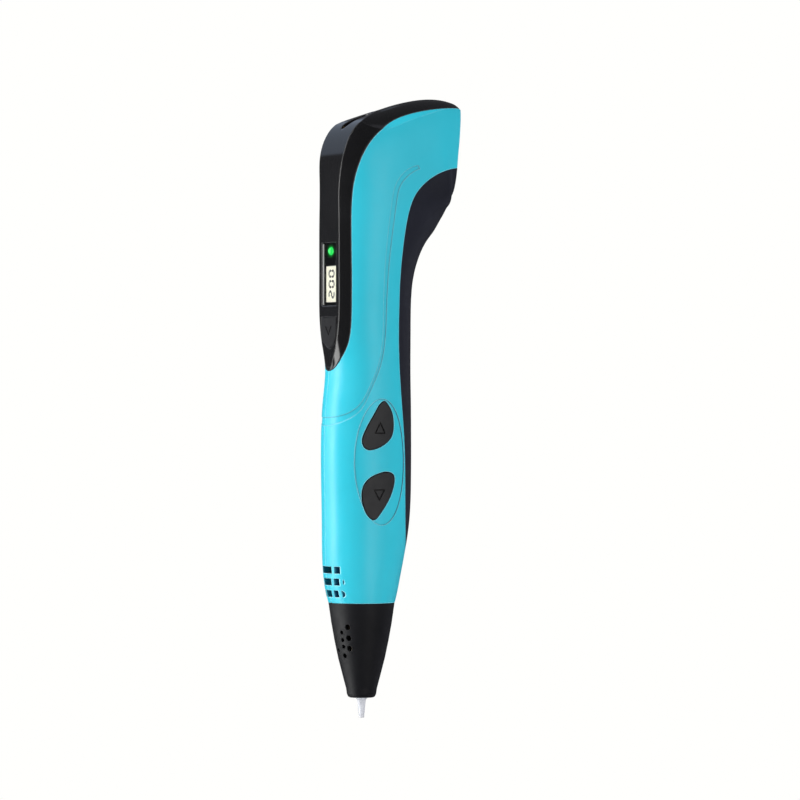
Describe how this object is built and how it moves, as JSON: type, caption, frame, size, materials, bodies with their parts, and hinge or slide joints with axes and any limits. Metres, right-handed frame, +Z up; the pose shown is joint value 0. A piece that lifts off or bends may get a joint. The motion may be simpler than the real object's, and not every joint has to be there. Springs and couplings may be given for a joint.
{
  "type": "3d printing pen",
  "caption": "Hooked hand-held 3D printing pen: a geared motor pushes plastic filament down a guide tube into a heated ceramic nozzle.",
  "frame": {"origin": "centre of the nozzle's open tip", "axes": "+Z up the filament's axis to the inlet; the display faces -Y, the hooked head reaches towards +Y, and the feed buttons are on the +X side"},
  "size_m": [0.026, 0.0403, 0.183],
  "materials": {
    "blue_plastic": "satin",
    "gloss_black": "polished",
    "dark_plastic": "matte",
    "black_plastic": "matte",
    "clear_lens": "clear",
    "lcd_panel": "polished",
    "white_plastic": "satin",
    "green_led": "polished",
    "ceramic": "smooth ceramic",
    "heater_wire": "drawn wire",
    "insulation": "woven glass sleeve",
    "thermistor_bead": "glazed bead",
    "tan_plastic": "heat-proof moulding",
    "white_tube": "waxy",
    "brass": "machined",
    "steel": "plated",
    "dark_steel": "blackened",
    "magnet": "sintered",
    "rotor_metal": "laminated, with copper winding",
    "green_board": "solder resist",
    "chip_black": "moulded",
    "chip_tan": "fired ceramic",
    "switch_body": "moulded",
    "button_plastic": "fine texture",
    "red_wire": "insulated",
    "black_wire": "insulated",
    "white_wire": "insulated",
    "ribbon": "polyimide film"
  },
  "bodies": {
    "pen": {"shell_left": "blue_plastic", "shell_right": "blue_plastic", "display_cover": "gloss_black", "back_cover": "dark_plastic", "nose_cone": "black_plastic", "display_lens": "clear_lens", "lcd_glass": "lcd_panel", "lcd_backlight": "white_plastic", "status_led": "green_led", "nozzle": "ceramic", "heater_coil": "heater_wire", "insulation_sleeve": "insulation", "thermistor": "thermistor_bead", "hot_end_clamp": "tan_plastic", "guide_tube": "white_tube", "inlet_bush": "brass", "feed_chassis": "black_plastic", "chassis_screws": "steel", "board_screws": "steel", "housing_screws": "dark_steel", "layshaft_pin": "steel", "gearbox_plates": "brass", "gearbox_posts": "steel", "motor_can": "steel", "motor_magnets": "magnet", "motor_end_cap": "white_plastic", "motor_terminals": "brass", "idler_spring": "steel", "main_board": "green_board", "main_board_chips": "chip_black", "main_board_passives": "chip_tan", "wire_connectors": "white_plastic", "button_board": "green_board", "display_board": "green_board", "feed_switch": "switch_body", "retract_switch": "switch_body", "mode_switch": "switch_body", "power_jack": "black_plastic", "jack_pin": "brass", "motor_leads": "red_wire", "jack_leads": "black_wire", "heater_leads": "white_wire", "thermistor_leads": "red_wire", "display_ribbon": "ribbon", "board_link": "brass"},
    "feed_button": {"feed_button": "button_plastic", "feed_plunger": "white_plastic"},
    "retract_button": {"retract_button": "button_plastic", "retract_plunger": "white_plastic"},
    "mode_button": {"mode_button": "black_plastic", "mode_plunger": "white_plastic"},
    "output": {"drive_wheel": "brass", "output_shaft": "steel", "output_gear": "brass"},
    "layshaft": {"layshaft_gear": "brass"},
    "rotor": {"motor_rotor": "rotor_metal"},
    "idler": {"idler_lever": "tan_plastic"},
    "idler_roller": {"idler_roller": "steel"}
  },
  "joints": [
    {"name": "feed_button_press", "type": "slide", "parent": "pen", "child": "feed_button", "axis": [-1, 0, 0], "range_m": [0, 0.0004], "stiffness_N_per_m": 400},
    {"name": "retract_button_press", "type": "slide", "parent": "pen", "child": "retract_button", "axis": [-1, 0, 0], "range_m": [0, 0.0004], "stiffness_N_per_m": 400},
    {"name": "mode_button_press", "type": "slide", "parent": "pen", "child": "mode_button", "axis": [0, 1, 0], "range_m": [0, 0.00035], "stiffness_N_per_m": 400},
    {"name": "drive_spin", "type": "hinge", "parent": "pen", "child": "output", "pos_m": [0.00425, 0, 0.163], "axis": [0, 1, 0], "continuous": true},
    {"name": "layshaft_spin", "type": "hinge", "parent": "pen", "child": "layshaft", "pos_m": [0.00425, 0.007, 0.1662], "axis": [0, 1, 0], "continuous": true},
    {"name": "rotor_spin", "type": "hinge", "parent": "pen", "child": "rotor", "pos_m": [0.00425, 0.015, 0.163], "axis": [0, 1, 0], "continuous": true},
    {"name": "idler_swing", "type": "hinge", "parent": "pen", "child": "idler", "pos_m": [-0.0066, 0, 0.1702], "axis": [0, 1, 0], "range_deg": [0, 6], "stiffness_Nm_per_rad": 0.05, "deforming": ["idler_spring"]},
    {"name": "idler_roll", "type": "hinge", "parent": "idler", "child": "idler_roller", "pos_m": [-0.00335, 0, 0.163], "axis": [0, 1, 0], "continuous": true}
  ],
  "couplings": [
    {"joint": "layshaft_spin", "follows": "drive_spin", "ratio": -2.2},
    {"joint": "rotor_spin", "follows": "drive_spin", "ratio": 4.84}
  ]
}
